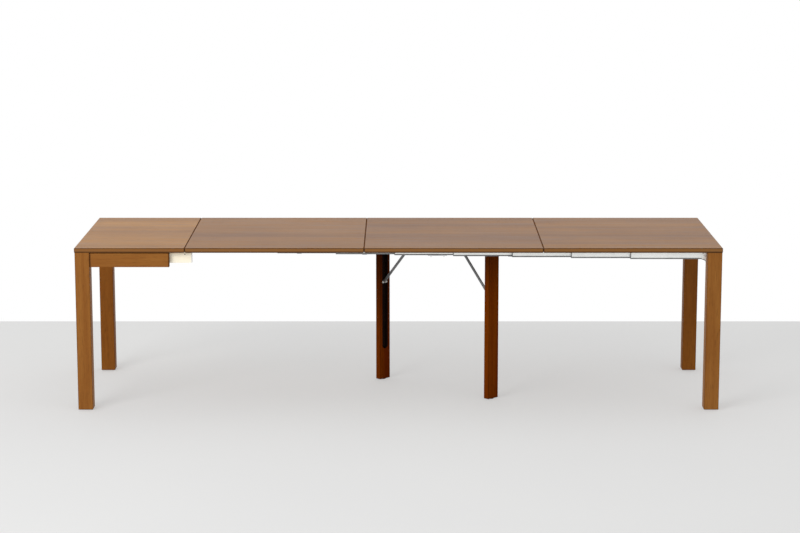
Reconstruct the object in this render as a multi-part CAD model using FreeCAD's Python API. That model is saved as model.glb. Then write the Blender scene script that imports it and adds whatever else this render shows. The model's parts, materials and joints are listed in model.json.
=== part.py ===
import FreeCAD, Part
import math
import os

V = FreeCAD.Vector

# Tops, mm. Sizes are measured from the left end (x), the front edge (y) and the floor (z).
TABLE_HEIGHT = 770.0
TABLE_WIDTH = 900.0
CONSOLE_LENGTH = 510.0
LEAF_LENGTH = 828.0
LEAF_COUNT = 3
SEAM_GAP = 2.0
TOP_THICKNESS = 22.0
TOP_EASE = 2.0
UNDER_EASE = 3.0
REST_GAP = 0.3

# End legs, aprons and corner braces
LEG_SIDE = 68.0
LEG_INSET = 2.0
LEG_EASE = 1.5
GLIDE_HEIGHT = 3.0
GLIDE_RADIUS = 13.0
APRON_HEIGHT = 68.0
APRON_THICKNESS = 20.0
APRON_SETBACK = 5.0
APRON_END_GAP = 1.0
SHADOW_GAP_HEIGHT = 4.0
SHADOW_GAP_DEPTH = 6.0
BRACE_THICKNESS = 3.0
BRACE_HEIGHT = 20.0
BRACE_LIFT = 4.0
END_RAIL_THICKNESS = 22.0
END_RAIL_INSET = 22.0

# Telescopic rails: nine moving stages on one fixed stage, each side
STAGE_COUNT = 9
LANE_PITCH = 14.0
LANE_GAP = 0.6
RAIL_HEIGHT = 38.0
RAIL_STEP = 2.1
RAIL_CHAMFER = 3.0
RAIL_LEFT_GAP = 21.0
RAIL_RIGHT_GAP = 3.0
RAIL_STAGGER = 2.5
FLANGE_WIDTH = 22.0
FLANGE_THICKNESS = 4.0

# The tee-shaped tongue and groove shared by the rails and the lopers
SLOT_DROP = 9.5
NECK_HEIGHT = 4.0
HEAD_HEIGHT = 9.0
HEAD_DEPTH = 3.0
LIP_DEPTH = 2.2
SLIDE_CLEAR = 0.3

# Cross ties under the rails
TIE_WIDTH = 22.0
TIE_THICKNESS = 2.5
TIE_GAP = 8.0
TIE_END = 1.0
PIVOT_TIE_WIDTH = 90.0
TIE_FLANGE_DEPTH = 5.0
TIE_FLANGE_INSET = 50.0

# Lopers, which carry the near edge of the first leaf
LOPER_LENGTH = 300.0
LOPER_THICKNESS = 18.0
LOPER_HEIGHT = 51.0
LOPER_REACH = 33.0
LOPER_CAP = 5.0
GUIDE_PLATE = 2.0
GUIDE_HEIGHT = 20.0
GUIDE_END_GAP = 3.0
GROOVE_STOP = 1.0
GUSSET_THICKNESS = 2.5
GUSSET_WIDTH = 22.0
GUSSET_HEIGHT = 52.0
GUSSET_GAP = 1.9

# Leaf cleats
CLEAT_WIDTH = 20.0
CLEAT_HEIGHT = 14.0
CLEAT_END = 20.0
CLEAT_GAP = 5.6
CLEAT_PASSING_GAP = 1.0

# Swivelling support with its two folding legs
PIVOT_STAGE = 5
PIVOT_FROM_LEFT_CLOSED = 299.0
SWIVEL_TURN = -45.0
SWIVEL_GAP = 1.0
SWIVEL_PLATE = 4.0
SWIVEL_SIDE_MARGIN = 2.0
SWIVEL_END_MARGIN = 4.0
SWIVEL_CORNER = 24.0
RIB_THICKNESS = 2.4
RIB_DEPTH = 18.0
RIB_START = 24.0
RIB_END = 190.0
BEARING_RADIUS = 40.0
PIVOT_RADIUS = 6.0
PIVOT_HEAD_RADIUS = 11.0
PIVOT_HEAD_HEIGHT = 3.0
PIVOT_NUT_HEIGHT = 6.0
PIN_CLEAR = 0.05

MID_LEG_WIDTH = 68.0
MID_LEG_THICKNESS = 30.0
MID_LEG_SPAN = 331.0
MID_LEG_GAP = 4.0
MID_LEG_EASE = 1.5
HINGE_DROP = 12.0
HINGE_DEPTH = 8.0
HINGE_TOP = 8.0
HINGE_PIN_RADIUS = 3.0
HINGE_PIN_RECESS = 1.0
GROOVE_WIDTH = 38.0
GROOVE_DEPTH = 16.0
GROOVE_END = 155.0
BRACKET_PLATE = 2.5
BRACKET_SIDE_GAP = 0.5
EAR_RADIUS = 7.0
HINGE_PLATE_LENGTH = 24.0

STAY_DROP = 203.0
STAY_SPAN = 185.0
STAY_WIDTH = 12.0
STAY_THICKNESS = 5.0
STAY_EYE_RADIUS = 6.5
STAY_PIN_RADIUS = 2.5
STAY_SIDE_GAP = 0.4
STAY_PLATE_LENGTH = 24.0
STAY_PLATE_WIDTH = 28.0
STAY_PIN_PROUD = 2.0
ROLLER_RADIUS = 5.5
ROLLER_SHAFT_RADIUS = 3.0
ROLLER_END_GAP = 0.7

# Places that follow from the sizes above
TOTAL_LENGTH = CONSOLE_LENGTH + LEAF_COUNT * (LEAF_LENGTH + SEAM_GAP)
EXTENSION = TOTAL_LENGTH - CONSOLE_LENGTH
STAGE_TRAVEL = EXTENSION / STAGE_COUNT
UNDERSIDE = TABLE_HEIGHT - TOP_THICKNESS
CARRY = UNDERSIDE - REST_GAP
LEG_INNER = LEG_INSET + LEG_SIDE
CLOSED_LEG = CONSOLE_LENGTH - LEG_INNER
APRON_OUTER = LEG_INSET + APRON_SETBACK
APRON_INNER = APRON_OUTER + APRON_THICKNESS
APRON_RIGHT = CLOSED_LEG - APRON_END_GAP
APRON_BOTTOM = UNDERSIDE - APRON_HEIGHT

GUIDE_FACE = APRON_INNER + GUIDE_PLATE
LOPER_OUTER = GUIDE_FACE + LANE_GAP
LOPER_INNER = LOPER_OUTER + LOPER_THICKNESS
LOPER_RIGHT = CONSOLE_LENGTH + LOPER_REACH
LOPER_TRAVEL = LOPER_RIGHT - APRON_RIGHT
LOPER_SLOT = CARRY - LOPER_HEIGHT / 2

LANE_START = LOPER_INNER + GUSSET_GAP + GUSSET_THICKNESS
RAIL_LEFT = LEG_INNER + RAIL_LEFT_GAP
RAIL_RIGHT = CLOSED_LEG - RAIL_RIGHT_GAP
RAIL_SLOT = CARRY - SLOT_DROP
TONGUE_REACH = LANE_GAP + LIP_DEPTH + SLIDE_CLEAR
CLEAT_LANE = LANE_START + (STAGE_COUNT + 1) * LANE_PITCH - LANE_GAP + CLEAT_GAP
BRACE_REACH = 2 * LEG_INNER - APRON_INNER
BRACE_SLANT = BRACE_THICKNESS * math.sqrt(2)


def rail_bottom(stage):
    """The height of the underside of a stage's rails."""
    return CARRY - RAIL_HEIGHT + RAIL_STEP * (STAGE_COUNT - stage)


SWIVEL_TOP = rail_bottom(STAGE_COUNT - 1) - TIE_THICKNESS - SWIVEL_GAP
SWIVEL_UNDER = SWIVEL_TOP - SWIVEL_PLATE
HINGE_Z = SWIVEL_UNDER - HINGE_DROP
MID_LEG_INNER = MID_LEG_SPAN - MID_LEG_THICKNESS / 2
MID_LEG_OFFSET = (MID_LEG_WIDTH + MID_LEG_GAP) / 2
HINGE_U = MID_LEG_INNER + HINGE_DEPTH
STAY_U = HINGE_U - STAY_SPAN
PIVOT_X = PIVOT_FROM_LEFT_CLOSED + PIVOT_STAGE * STAGE_TRAVEL


def box(x, y, z):
    """A block between pairs of limits along each axis."""
    (x0, x1), (y0, y1), (z0, z1) = sorted(x), sorted(y), sorted(z)
    return Part.makeBox(x1 - x0, y1 - y0, z1 - z0, V(x0, y0, z0))


def bar(points, x0, x1):
    """A bar along the length of the table with a section given as (y, z) corners."""
    wire = Part.makePolygon([V(x0, y, z) for y, z in points + points[:1]])
    return Part.Face(wire).extrude(V(x1 - x0, 0, 0))


def rod(radius, centre, axis, length):
    """A round rod centred on a point."""
    axis = V(*axis)
    return Part.makeCylinder(radius, length, V(*centre) - axis * (length / 2), axis)


def eased(shape, size, wanted):
    """Chamfers the straight edges whose two end points both pass a test."""
    edges = [e for e in shape.Edges if all(wanted(v.Point) for v in e.Vertexes)]
    return shape.makeChamfer(size, edges)


def eased_post(shape, size):
    """Chamfers the upright edges and the foot of a post."""
    top = shape.BoundBox.ZMax - size
    return shape.makeChamfer(size, [e for e in shape.Edges if min(v.Point.z for v in e.Vertexes) < top])


def rear(y):
    """The place on the rear side that faces a place on the front side."""
    return TABLE_WIDTH - y


def on_side(points, side):
    """A section's corners on the front side, or mirrored to the rear side."""
    return points if side == "front" else [(rear(y), z) for y, z in points]


def tongue(face, slot, out):
    """Corners of the tee tongue on an upright face, from its top to its bottom."""
    neck = face + out * TONGUE_REACH
    tip = neck + out * HEAD_DEPTH
    upper = [
        (face, slot + NECK_HEIGHT / 2),
        (neck, slot + NECK_HEIGHT / 2),
        (neck, slot + HEAD_HEIGHT / 2),
        (tip, slot + HEAD_HEIGHT / 2),
    ]
    return upper + [(y, 2 * slot - z) for y, z in reversed(upper)]


def groove(face, slot, into):
    """Corners of the tee groove that takes the tongue, from its top to its bottom."""
    lip = face + into * LIP_DEPTH
    floor = lip + into * (HEAD_DEPTH + 2 * SLIDE_CLEAR)
    mouth = NECK_HEIGHT / 2 + SLIDE_CLEAR
    cavity = HEAD_HEIGHT / 2 + SLIDE_CLEAR
    upper = [(face, slot + mouth), (lip, slot + mouth), (lip, slot + cavity), (floor, slot + cavity)]
    return upper + [(y, 2 * slot - z) for y, z in reversed(upper)]


def rail_section(stage):
    """A rail's section: a tongue on its outer face and a groove on its inner face."""
    outer = LANE_START + (STAGE_COUNT - stage) * LANE_PITCH
    inner = outer + LANE_PITCH - LANE_GAP
    bottom = rail_bottom(stage)
    points = [(outer + RAIL_CHAMFER, bottom), (inner, bottom)]
    if stage == 0:
        ledge = UNDERSIDE - FLANGE_THICKNESS
        flange = inner + FLANGE_WIDTH
        points += [(inner, ledge), (flange, ledge), (flange, UNDERSIDE), (outer, UNDERSIDE)]
    else:
        points += reversed(groove(inner, RAIL_SLOT, -1))
        points += [(inner, CARRY), (outer, CARRY)]
    if stage < STAGE_COUNT:
        points += tongue(outer, RAIL_SLOT, -1)
    return points + [(outer, bottom + RAIL_CHAMFER)]


def rail(stage, side):
    """One rail of a stage, where it stands with the table drawn out."""
    left = RAIL_LEFT + RAIL_STAGGER * (STAGE_COUNT - stage)
    right = CLOSED_LEG if stage == STAGE_COUNT else RAIL_RIGHT
    shift = stage * STAGE_TRAVEL
    return bar(on_side(rail_section(stage), side), left + shift, right + shift)


def tie_centre(stage):
    """Where a stage's cross tie lies with the table closed: the ties stand in a row."""
    step = TIE_WIDTH + TIE_GAP
    first = (PIVOT_TIE_WIDTH + TIE_WIDTH) / 2 + TIE_GAP
    if stage == PIVOT_STAGE:
        return PIVOT_FROM_LEFT_CLOSED
    if stage < PIVOT_STAGE:
        return PIVOT_FROM_LEFT_CLOSED - first - (PIVOT_STAGE - 1 - stage) * step
    return PIVOT_FROM_LEFT_CLOSED + first + (stage - PIVOT_STAGE - 1) * step


def tie_flange(edge, top):
    """A stiffening flange along one edge of the wide tie, clear of its ends."""
    outer = PIVOT_X + edge * PIVOT_TIE_WIDTH / 2
    start = LANE_START + STAGE_COUNT * LANE_PITCH + TIE_FLANGE_INSET
    return box((outer, outer - edge * TIE_THICKNESS), (start, rear(start)), (top - TIE_FLANGE_DEPTH, top))


def cross_tie(stage):
    """The flat bar that joins the two rails of a stage from below."""
    width = PIVOT_TIE_WIDTH if stage == PIVOT_STAGE else TIE_WIDTH
    centre = tie_centre(stage) + stage * STAGE_TRAVEL
    start = LANE_START + (STAGE_COUNT - stage) * LANE_PITCH + RAIL_CHAMFER + TIE_END
    bottom = rail_bottom(stage)
    tie = box(
        (centre - width / 2, centre + width / 2),
        (start, rear(start)),
        (bottom - TIE_THICKNESS, bottom),
    )
    if stage == PIVOT_STAGE:
        tie = tie.fuse([tie_flange(edge, bottom - TIE_THICKNESS) for edge in (-1, 1)]).removeSplitter()
        hole = rod(PIVOT_RADIUS + PIN_CLEAR, (PIVOT_X, TABLE_WIDTH / 2, bottom), (0, 0, 1), 4 * TIE_THICKNESS)
        tie = tie.cut(hole)
    return tie


def board(left, right):
    """A top board with its lower edges bevelled, and its upper edges and corners eased."""
    blank = box((left, right), (0, TABLE_WIDTH), (UNDERSIDE, TABLE_HEIGHT))
    blank = eased(blank, UNDER_EASE, lambda p: p.z < UNDERSIDE + UNDER_EASE / 2)
    top = [e for e in blank.Edges if max(v.Point.z for v in e.Vertexes) > TABLE_HEIGHT - TOP_EASE]
    return blank.makeChamfer(TOP_EASE, top)


def end_leg(left, side, top):
    """A square end leg standing on its glide."""
    near, far = LEG_INSET, LEG_INNER
    y = (near, far) if side == "front" else (rear(near), rear(far))
    return eased_post(box((left, left + LEG_SIDE), y, (GLIDE_HEIGHT, top)), LEG_EASE)


def glides(left):
    """The two round glides under a pair of end legs."""
    middle = LEG_INSET + LEG_SIDE / 2
    return [
        rod(GLIDE_RADIUS, (left + LEG_SIDE / 2, y, GLIDE_HEIGHT / 2), (0, 0, 1), GLIDE_HEIGHT)
        for y in (middle, rear(middle))
    ]


def long_apron(side):
    """The front or rear apron between the left leg and where the right leg closes, with a shadow gap."""
    across = (lambda y: y) if side == "front" else rear
    x = (LEG_INNER, APRON_RIGHT)
    blank = box(x, (across(APRON_OUTER), across(APRON_INNER)), (APRON_BOTTOM, UNDERSIDE))
    blank = eased(blank, LEG_EASE, lambda p: p.x > APRON_RIGHT - LEG_EASE / 2)
    gap = (across(APRON_OUTER), across(APRON_OUTER + SHADOW_GAP_DEPTH))
    return blank.cut(box(x, gap, (UNDERSIDE - SHADOW_GAP_HEIGHT, UNDERSIDE)))


def end_apron():
    """The apron between the two left legs, with the same shadow gap."""
    y = (LEG_INNER, rear(LEG_INNER))
    blank = box((APRON_OUTER, APRON_INNER), y, (APRON_BOTTOM, UNDERSIDE))
    gap = (APRON_OUTER, APRON_OUTER + SHADOW_GAP_DEPTH)
    return blank.cut(box(gap, y, (UNDERSIDE - SHADOW_GAP_HEIGHT, UNDERSIDE)))


def corner_braces():
    """Steel plates across the inner corners of the left end, below the rails."""
    low = APRON_BOTTOM + BRACE_LIFT
    far = BRACE_REACH + BRACE_SLANT
    plan = [(BRACE_REACH, APRON_INNER), (far, APRON_INNER), (APRON_INNER, far), (APRON_INNER, BRACE_REACH)]
    braces = []
    for across in (lambda y: y, rear):
        corners = [V(x, across(y), low) for x, y in plan + plan[:1]]
        braces.append(Part.Face(Part.makePolygon(corners)).extrude(V(0, 0, BRACE_HEIGHT)))
    return braces


def end_rail():
    """The rail between the right legs, low enough to pass under the leaf cleats."""
    left = CLOSED_LEG + END_RAIL_INSET + EXTENSION
    top = UNDERSIDE - CLEAT_HEIGHT - CLEAT_PASSING_GAP
    blank = box((left, left + END_RAIL_THICKNESS), (LEG_INNER, rear(LEG_INNER)), (APRON_BOTTOM, top))
    return eased(blank, LEG_EASE, lambda p: p.z > top - LEG_EASE / 2 and abs(p.x - left) < LEG_EASE / 2)


def gussets():
    """Plates that hold the largest rails to the right legs, with a hollow lower edge."""
    right = CLOSED_LEG + EXTENSION
    left = right - GUSSET_WIDTH
    low = CARRY - GUSSET_HEIGHT
    foot = rail_bottom(STAGE_COUNT)
    corner = V(left, 0, low)
    middle = corner + (V(right, 0, foot) - corner) * 0.62
    ends = V(left, 0, foot), V(right, 0, low)
    outline = [
        Part.Arc(ends[0], middle, ends[1]).toShape(),
        Part.makePolygon([ends[1], V(right, 0, CARRY), V(left, 0, CARRY), ends[0]]),
    ]
    face = Part.Face(Part.Wire([outline[0]] + outline[1].Edges))
    start = LANE_START - GUSSET_THICKNESS
    plate = face.extrude(V(0, GUSSET_THICKNESS, 0))
    return [plate.translated(V(0, y, 0)) for y in (start, rear(LANE_START))]


def loper(side):
    """A sliding bearer, without its end cap; its tee groove stops short of the part that draws out."""
    bottom = CARRY - LOPER_HEIGHT
    points = [(LOPER_OUTER, bottom), (LOPER_INNER, bottom), (LOPER_INNER, CARRY), (LOPER_OUTER, CARRY)]
    left = LOPER_RIGHT - LOPER_LENGTH
    bearer = bar(on_side(points, side), left, LOPER_RIGHT - LOPER_CAP)
    return bearer.cut(bar(on_side(groove(LOPER_OUTER, LOPER_SLOT, 1), side), left, APRON_RIGHT - GROOVE_STOP))


def loper_cap(side):
    """The moulded cap on a loper's outer end."""
    bottom = CARRY - LOPER_HEIGHT
    points = [(LOPER_OUTER, bottom), (LOPER_INNER, bottom), (LOPER_INNER, CARRY), (LOPER_OUTER, CARRY)]
    cap = bar(on_side(points, side), LOPER_RIGHT - LOPER_CAP, LOPER_RIGHT)
    return eased(cap, LOPER_CAP / 4, lambda p: p.x > LOPER_RIGHT - LOPER_CAP / 2)


def loper_guide(side):
    """The tee strip on an apron's inner face that a loper runs on."""
    half = GUIDE_HEIGHT / 2
    points = [(GUIDE_FACE, LOPER_SLOT - half), (APRON_INNER, LOPER_SLOT - half)]
    points += [(APRON_INNER, LOPER_SLOT + half), (GUIDE_FACE, LOPER_SLOT + half)]
    points += tongue(GUIDE_FACE, LOPER_SLOT, 1)
    left = BRACE_REACH + BRACE_SLANT + GUIDE_END_GAP
    return bar(on_side(points, side), left, APRON_RIGHT - LOPER_TRAVEL - GUIDE_END_GAP)


def cleats(left, right):
    """The two locating strips under a leaf."""
    x = (left + CLEAT_END, right - CLEAT_END)
    z = (UNDERSIDE - CLEAT_HEIGHT, UNDERSIDE)
    far = CLEAT_LANE + CLEAT_WIDTH
    return [box(x, (CLEAT_LANE, far), z), box(x, (rear(far), rear(CLEAT_LANE)), z)]


def swivel_bar():
    """The swivelling bar: a round-cornered plate with two ribs that stand between the folded legs."""
    half = MID_LEG_SPAN + MID_LEG_THICKNESS / 2 + SWIVEL_END_MARGIN
    side = MID_LEG_OFFSET + GROOVE_WIDTH / 2 + SWIVEL_SIDE_MARGIN
    blank = box((-half, half), (-side, side), (SWIVEL_UNDER, SWIVEL_TOP))
    corners = [e for e in blank.Edges if abs(e.tangentAt(e.FirstParameter).z) > 0.99]
    plate = blank.makeFillet(SWIVEL_CORNER, corners)
    slant = RIB_DEPTH
    low = SWIVEL_UNDER - RIB_DEPTH
    outline = [(RIB_START, SWIVEL_UNDER), (RIB_START, low), (RIB_END - slant, low), (RIB_END, SWIVEL_UNDER)]
    corners = [V(u, -RIB_THICKNESS / 2, z) for u, z in outline + outline[:1]]
    rib = Part.Face(Part.makePolygon(corners)).extrude(V(0, RIB_THICKNESS, 0))
    far_rib = rib.copy()
    far_rib.rotate(V(0, 0, 0), V(0, 0, 1), 180)
    hole = rod(PIVOT_RADIUS + PIN_CLEAR, (0, 0, SWIVEL_TOP), (0, 0, 1), 4 * SWIVEL_PLATE)
    return plate.fuse([rib, far_rib]).removeSplitter().cut(hole)


def bearing():
    """The washer that the swivelling bar turns against."""
    bottom, top = SWIVEL_TOP + REST_GAP, rail_bottom(PIVOT_STAGE) - TIE_THICKNESS
    ring = Part.makeCylinder(BEARING_RADIUS, top - bottom, V(0, 0, bottom))
    return ring.cut(Part.makeCylinder(PIVOT_RADIUS + PIN_CLEAR, top - bottom, V(0, 0, bottom)))


def pivot_bolt():
    """The bolt through the wide tie, the washer and the swivelling bar."""
    top = rail_bottom(PIVOT_STAGE)
    low = SWIVEL_UNDER - REST_GAP - PIVOT_HEAD_HEIGHT
    outline = [
        V(0, 0, low),
        V(PIVOT_HEAD_RADIUS, 0, low),
        V(PIVOT_HEAD_RADIUS, 0, low + PIVOT_HEAD_HEIGHT),
        V(PIVOT_RADIUS, 0, low + PIVOT_HEAD_HEIGHT),
        V(PIVOT_RADIUS, 0, top),
        V(PIVOT_HEAD_RADIUS, 0, top),
        V(PIVOT_HEAD_RADIUS, 0, top + PIVOT_NUT_HEIGHT),
        V(0, 0, top + PIVOT_NUT_HEIGHT),
        V(0, 0, low),
    ]
    return Part.Face(Part.makePolygon(outline)).revolve(V(0, 0, 0), V(0, 0, 1), 360)


def folding_leg():
    """A flat leg with the groove that its stay slides in, in the support's own axes."""
    low, high = MID_LEG_OFFSET - MID_LEG_WIDTH / 2, MID_LEG_OFFSET + MID_LEG_WIDTH / 2
    top = HINGE_Z + HINGE_TOP
    post = box((MID_LEG_INNER, MID_LEG_INNER + MID_LEG_THICKNESS), (low, high), (GLIDE_HEIGHT, top))
    post = eased_post(post, MID_LEG_EASE)
    half = GROOVE_WIDTH / 2
    floor = MID_LEG_INNER + GROOVE_DEPTH
    front = MID_LEG_INNER - GROOVE_DEPTH
    run = box((front, floor), (MID_LEG_OFFSET - half, MID_LEG_OFFSET + half), (GROOVE_END + half, top + half))
    tip = Part.makeCylinder(half, floor - front, V(front, MID_LEG_OFFSET, GROOVE_END + half), V(1, 0, 0))
    hole = rod(HINGE_PIN_RADIUS + PIN_CLEAR, (HINGE_U, MID_LEG_OFFSET, HINGE_Z), (0, 1, 0), 2 * MID_LEG_WIDTH)
    return post.cut(run.fuse(tip).removeSplitter()).cut(hole)


def folding_leg_glide():
    """The glide under a folding leg."""
    return rod(GLIDE_RADIUS, (MID_LEG_SPAN, MID_LEG_OFFSET, GLIDE_HEIGHT / 2), (0, 0, 1), GLIDE_HEIGHT)


def ear(centre_u, centre_v, thickness, radius, hole):
    """One upright ear under the swivelling bar, rounded about its pin hole."""
    v = (centre_v - thickness / 2, centre_v + thickness / 2)
    plate = box((centre_u - radius, centre_u + radius), v, (HINGE_Z, SWIVEL_UNDER - BRACKET_PLATE))
    end = rod(radius, (centre_u, centre_v, HINGE_Z), (0, 1, 0), thickness)
    return plate.fuse(end).cut(rod(hole, (centre_u, centre_v, HINGE_Z), (0, 1, 0), 2 * thickness))


def bracket(centre_u, spread, length, width, radius, pin):
    """A bracket screwed under the swivelling bar: a plate with two ears that hold a pin."""
    plate = box(
        (centre_u - length / 2, centre_u + length / 2),
        (MID_LEG_OFFSET - width / 2, MID_LEG_OFFSET + width / 2),
        (SWIVEL_UNDER - BRACKET_PLATE, SWIVEL_UNDER),
    )
    ears = [
        ear(centre_u, MID_LEG_OFFSET + s * spread, BRACKET_PLATE, radius, pin + PIN_CLEAR)
        for s in (-1, 1)
    ]
    return plate.fuse(ears).removeSplitter()


def hinge_bracket():
    """The bracket that a folding leg hangs on, inside the leg's groove."""
    half = GROOVE_WIDTH / 2 - BRACKET_SIDE_GAP
    spread = half - BRACKET_PLATE / 2
    return bracket(HINGE_U, spread, HINGE_PLATE_LENGTH, 2 * half, EAR_RADIUS, HINGE_PIN_RADIUS)


def hinge_pin():
    """The pin through a folding leg's cheeks and its bracket."""
    length = MID_LEG_WIDTH - 2 * HINGE_PIN_RECESS
    return rod(HINGE_PIN_RADIUS, (HINGE_U, MID_LEG_OFFSET, HINGE_Z), (0, 1, 0), length)


STAY_EAR = STAY_THICKNESS / 2 + STAY_SIDE_GAP + BRACKET_PLATE / 2


def stay_bracket():
    """The bracket that a stay's upper end turns in."""
    return bracket(STAY_U, STAY_EAR, STAY_PLATE_LENGTH, STAY_PLATE_WIDTH, STAY_EYE_RADIUS, STAY_PIN_RADIUS)


def stay_pin():
    """The pin at a stay's upper end."""
    length = 2 * STAY_EAR + BRACKET_PLATE + 2 * STAY_PIN_PROUD
    return rod(STAY_PIN_RADIUS, (STAY_U, MID_LEG_OFFSET, HINGE_Z), (0, 1, 0), length)


def stay():
    """The flat stay from its bracket down to the roller in the leg's groove."""
    length = math.hypot(STAY_SPAN, STAY_DROP)
    half = STAY_WIDTH / 2
    web = box((0, length), (-STAY_THICKNESS / 2, STAY_THICKNESS / 2), (-half, half))
    eyes = [rod(STAY_EYE_RADIUS, (u, 0, 0), (0, 1, 0), STAY_THICKNESS) for u in (0, length)]
    holes = [
        rod(radius + PIN_CLEAR, (u, 0, 0), (0, 1, 0), 2 * STAY_THICKNESS)
        for u, radius in ((0, STAY_PIN_RADIUS), (length, ROLLER_SHAFT_RADIUS))
    ]
    flat = web.fuse(eyes).cut(holes)
    flat.rotate(V(0, 0, 0), V(0, 1, 0), math.degrees(math.atan2(STAY_DROP, STAY_SPAN)))
    return flat.translated(V(STAY_U, MID_LEG_OFFSET, HINGE_Z))


def stay_roller():
    """The pair of rollers on one shaft at a stay's lower end."""
    end = GROOVE_WIDTH / 2 - ROLLER_END_GAP
    waist = STAY_THICKNESS / 2 + STAY_SIDE_GAP
    half = [(0, end), (ROLLER_RADIUS, end), (ROLLER_RADIUS, waist), (ROLLER_SHAFT_RADIUS, waist)]
    outline = half + [(r, -v) for r, v in reversed(half)]
    corners = [V(r, v, 0) for r, v in outline + outline[:1]]
    wheel = Part.Face(Part.makePolygon(corners)).revolve(V(0, 0, 0), V(0, 1, 0), 360)
    return wheel.translated(V(HINGE_U, MID_LEG_OFFSET, HINGE_Z - STAY_DROP))


def on_support(shape, side="front"):
    """Turns a piece made in the support's own axes to where it stands at rest."""
    placed = shape.copy()
    turn = SWIVEL_TURN if side == "front" else SWIVEL_TURN + 180
    placed.rotate(V(0, 0, 0), V(0, 0, 1), turn)
    return placed.translated(V(PIVOT_X, TABLE_WIDTH / 2, 0))


SIDES = ("front", "rear")


def base_pieces():
    """The console: its top, left legs, aprons, braces, fixed rails and loper guides."""
    pieces = {"console_top": [board(0, CONSOLE_LENGTH)], "end_apron": [end_apron()]}
    for side in SIDES:
        pieces[f"left_leg_{side}"] = [end_leg(LEG_INSET, side, UNDERSIDE)]
        pieces[f"{side}_apron"] = [long_apron(side)]
        pieces[f"fixed_rail_{side}"] = [rail(0, side)]
    pieces["corner_braces"] = corner_braces()
    pieces["loper_guides"] = [loper_guide(side) for side in SIDES]
    pieces["left_glides"] = glides(LEG_INSET)
    return pieces


def loper_pieces():
    """The two lopers and their caps."""
    pieces = {}
    for side in SIDES:
        pieces[f"{side}_loper"] = [loper(side)]
        pieces[f"{side}_loper_cap"] = [loper_cap(side)]
    return pieces


def stage_pieces():
    """The rail pairs of the moving stages with the ties that join them."""
    pieces = {}
    for stage in range(1, STAGE_COUNT):
        pieces[f"rail_pair_{stage}"] = [rail(stage, side) for side in SIDES]
        pieces[f"cross_tie_{stage}"] = [cross_tie(stage)]
    return pieces


def right_end_pieces():
    """The moving end: its legs, rail, gussets, glides and the largest rails."""
    left = CLOSED_LEG + EXTENSION
    pieces = {"end_rail": [end_rail()], "rail_gussets": gussets(), "right_glides": glides(left)}
    for side in SIDES:
        pieces[f"right_leg_{side}"] = [end_leg(left, side, CARRY)]
        pieces[f"rail_{STAGE_COUNT}_{side}"] = [rail(STAGE_COUNT, side)]
    return pieces


def support_pieces():
    """The swivelling support with its folding legs and stays."""
    pieces = {
        "swivel_bar": [on_support(swivel_bar())],
        "swivel_bearing": [on_support(bearing())],
        "pivot_bolt": [on_support(pivot_bolt())],
    }
    pairs = {
        "hinge_brackets": hinge_bracket,
        "hinge_pins": hinge_pin,
        "stay_brackets": stay_bracket,
        "stay_pins": stay_pin,
    }
    for name, make in pairs.items():
        pieces[name] = [on_support(make(), side) for side in SIDES]
    singles = {
        "middle_leg": folding_leg,
        "middle_leg_glide": folding_leg_glide,
        "stay": stay,
        "stay_roller": stay_roller,
    }
    for name, make in singles.items():
        for side in SIDES:
            pieces[f"{side}_{name}"] = [on_support(make(), side)]
    return pieces


def leaf_pieces():
    """The loose leaves and their cleats."""
    pieces = {}
    for number in range(1, LEAF_COUNT + 1):
        right = CONSOLE_LENGTH + number * (LEAF_LENGTH + SEAM_GAP)
        pieces[f"leaf_{number}"] = [board(right - LEAF_LENGTH, right)]
        pieces[f"leaf_cleats_{number}"] = cleats(right - LEAF_LENGTH, right)
    return pieces


def export(pieces):
    """Writes each node with the table's middle on the floor at the origin."""
    os.makedirs("parts", exist_ok=True)
    home = V(-TOTAL_LENGTH / 2, -TABLE_WIDTH / 2, 0)
    for name, solids in pieces.items():
        moved = [solid.translated(home) for solid in solids]
        shape = moved[0] if len(moved) == 1 else Part.makeCompound(moved)
        shape.exportStep(f"parts/{name}.step")


def main():
    """Builds every piece of the table and writes it."""
    pieces = {}
    for make in (base_pieces, loper_pieces, stage_pieces, right_end_pieces, support_pieces, leaf_pieces):
        pieces.update(make())
    export(pieces)
    print(len(pieces), "nodes,", sum(len(solids) for solids in pieces.values()), "solids")


main()
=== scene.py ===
"""Dresses the extendable console table: finishes for boards, rails and fittings, fasteners, a studio."""

import json
import logging
import math
from dataclasses import dataclass, field
from enum import Enum

import bpy
import numpy as np
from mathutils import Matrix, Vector


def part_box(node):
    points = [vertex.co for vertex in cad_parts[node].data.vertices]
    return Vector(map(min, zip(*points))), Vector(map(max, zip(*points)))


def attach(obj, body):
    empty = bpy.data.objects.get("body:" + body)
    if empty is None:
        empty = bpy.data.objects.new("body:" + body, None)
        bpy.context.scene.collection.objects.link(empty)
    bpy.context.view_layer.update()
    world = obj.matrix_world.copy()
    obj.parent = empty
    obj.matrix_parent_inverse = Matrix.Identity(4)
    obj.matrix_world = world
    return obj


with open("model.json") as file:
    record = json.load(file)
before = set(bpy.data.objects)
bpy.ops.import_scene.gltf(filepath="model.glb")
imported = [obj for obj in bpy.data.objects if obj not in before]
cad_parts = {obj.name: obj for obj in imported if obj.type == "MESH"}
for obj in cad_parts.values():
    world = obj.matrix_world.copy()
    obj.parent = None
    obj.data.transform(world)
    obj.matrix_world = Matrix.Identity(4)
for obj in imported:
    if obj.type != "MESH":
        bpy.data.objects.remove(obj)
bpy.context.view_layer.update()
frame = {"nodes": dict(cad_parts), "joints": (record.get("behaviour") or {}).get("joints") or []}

LOG = logging.getLogger("console_table")
MM = 0.001
SIDES = ("front", "rear")
STAGES = range(1, 9)
UPRIGHT = np.array((0.0, 0.0, 1.0))
SIDEWAYS = np.array((1.0, 0.0, 0.0))
Colour = tuple[float, float, float, float]
Triple = tuple[float, float, float]


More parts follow.
